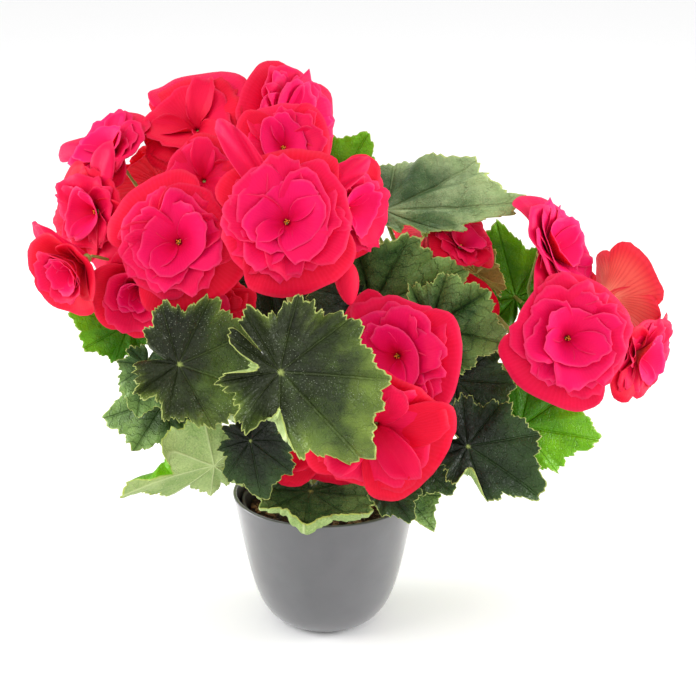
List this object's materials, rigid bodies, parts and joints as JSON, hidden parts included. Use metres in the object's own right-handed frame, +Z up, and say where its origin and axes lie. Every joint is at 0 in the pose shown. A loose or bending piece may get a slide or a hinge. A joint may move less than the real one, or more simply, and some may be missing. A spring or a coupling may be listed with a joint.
{
  "type": "potted begonia",
  "caption": "Double red begonia in full bloom in a round grey cover pot: rose-like flowers in crowded heads over toothed, lopsided heart-shaped leaves.",
  "frame": {"origin": "centre of the cover pot's flat foot", "axes": "+Z up, the plant's best side faces -Y, +X to the right of someone who looks at that side"},
  "size_m": [0.3685, 0.2467, 0.3378],
  "materials": {
    "pot": "satin grey glaze",
    "nursery_pot": "thin dark plastic",
    "soil": "loose potting soil",
    "stems": "fleshy green stem, reddish in places",
    "leaves": "dark green leaf, half glossy",
    "young_leaves": "bright green leaf, half glossy",
    "petals": "soft red petal"
  },
  "bodies": {
    "root": {"pot": "pot", "nursery_pot": "nursery_pot", "soil": "soil", "stems": "stems", "leaf_01": "leaves", "leaf_02": "leaves", "leaf_03": "leaves", "leaf_04": "leaves", "leaf_05": "leaves", "leaf_06": "leaves", "leaf_07": "young_leaves", "leaf_08": "leaves", "leaf_09": "young_leaves", "leaf_10": "leaves", "leaf_11": "young_leaves", "leaf_12": "leaves", "leaf_13": "leaves", "leaf_14": "leaves", "leaf_15": "leaves", "leaf_16": "leaves", "leaf_17": "leaves", "leaf_18": "leaves", "leaf_19": "leaves", "leaf_20": "young_leaves", "leaf_21": "leaves", "leaf_22": "leaves", "leaf_23": "leaves", "leaf_24": "leaves", "leaf_25": "leaves", "leaf_26": "leaves", "leaf_27": "leaves", "leaf_28": "leaves", "leaf_29": "leaves", "bloom_01": "petals", "bloom_02": "petals", "bloom_03": "petals", "bloom_04": "petals", "bloom_05": "petals", "bloom_06": "petals", "bloom_07": "petals", "bloom_08": "petals", "bloom_09": "petals", "bloom_10": "petals", "bloom_11": "petals", "bloom_12": "petals", "bloom_13": "petals", "bloom_14": "petals", "bloom_15": "petals", "bloom_16": "petals", "bloom_17": "petals", "bloom_18": "petals", "bloom_19": "petals", "bloom_20": "petals", "bloom_21": "petals", "bloom_22": "petals", "bloom_23": "petals", "bloom_24": "petals", "bud_1": "petals", "bud_2": "petals"}
  },
  "joints": []
}
